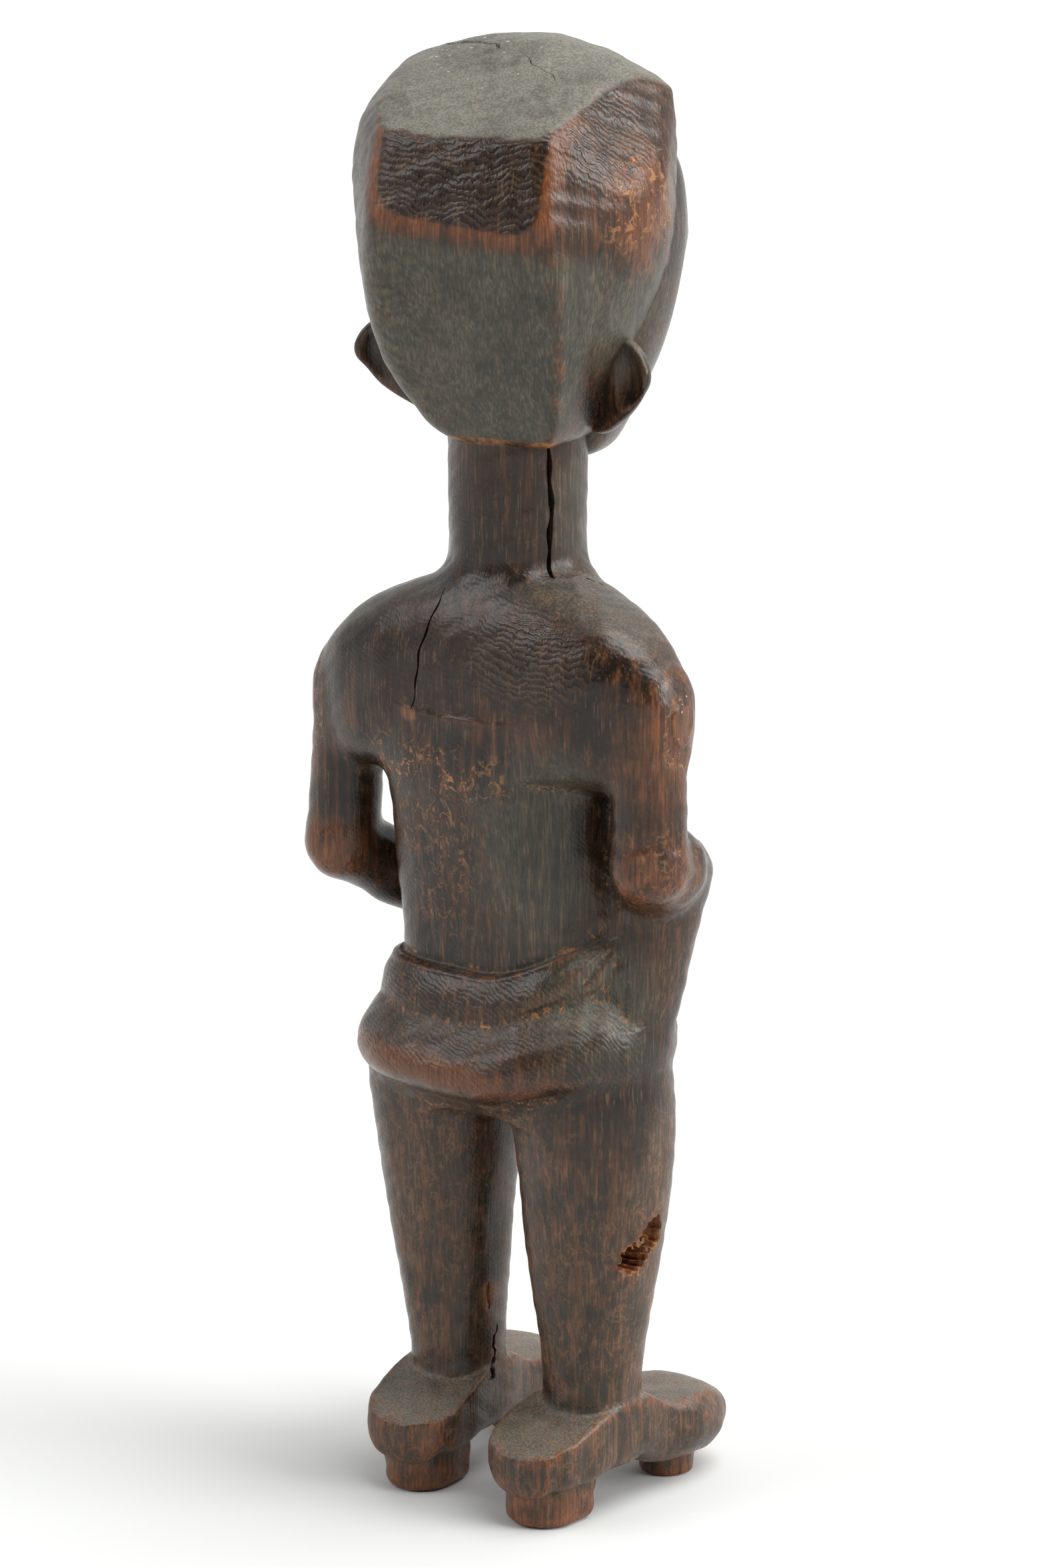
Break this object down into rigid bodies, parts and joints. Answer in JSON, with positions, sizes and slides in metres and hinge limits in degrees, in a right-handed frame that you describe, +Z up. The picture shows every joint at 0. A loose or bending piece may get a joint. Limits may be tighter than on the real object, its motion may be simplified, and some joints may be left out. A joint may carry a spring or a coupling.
{
  "type": "carved ancestor figure",
  "caption": "Standing wooden figure of a man in trousers and heeled shoes, hands in his pockets, on a long neck with a large faceted head; it rests on its heels and toe pads.",
  "frame": {"origin": "on the ground, at the middle of the figure's outline seen from above", "axes": "+Z up along the figure, which faces -Y; its own left side is +X"},
  "size_m": [0.0918, 0.0671, 0.289],
  "materials": {
    "hair_patina": "satin",
    "dark_patina": "satin",
    "worn_patina": "satin"
  },
  "bodies": {
    "root": {"cranium": "hair_patina", "face": "dark_patina", "left_ear": "dark_patina", "right_ear": "dark_patina", "neck": "dark_patina", "shoulders": "dark_patina", "trunk": "dark_patina", "left_upper_arm": "dark_patina", "right_upper_arm": "dark_patina", "left_forearm": "dark_patina", "right_forearm": "dark_patina", "waistband": "dark_patina", "seat": "worn_patina", "left_pocket": "dark_patina", "right_pocket": "dark_patina", "left_leg": "worn_patina", "right_leg": "worn_patina", "left_shoe": "worn_patina", "right_shoe": "worn_patina", "left_heel": "worn_patina", "right_heel": "worn_patina", "left_ball_pad": "worn_patina", "right_ball_pad": "worn_patina"}
  },
  "joints": []
}
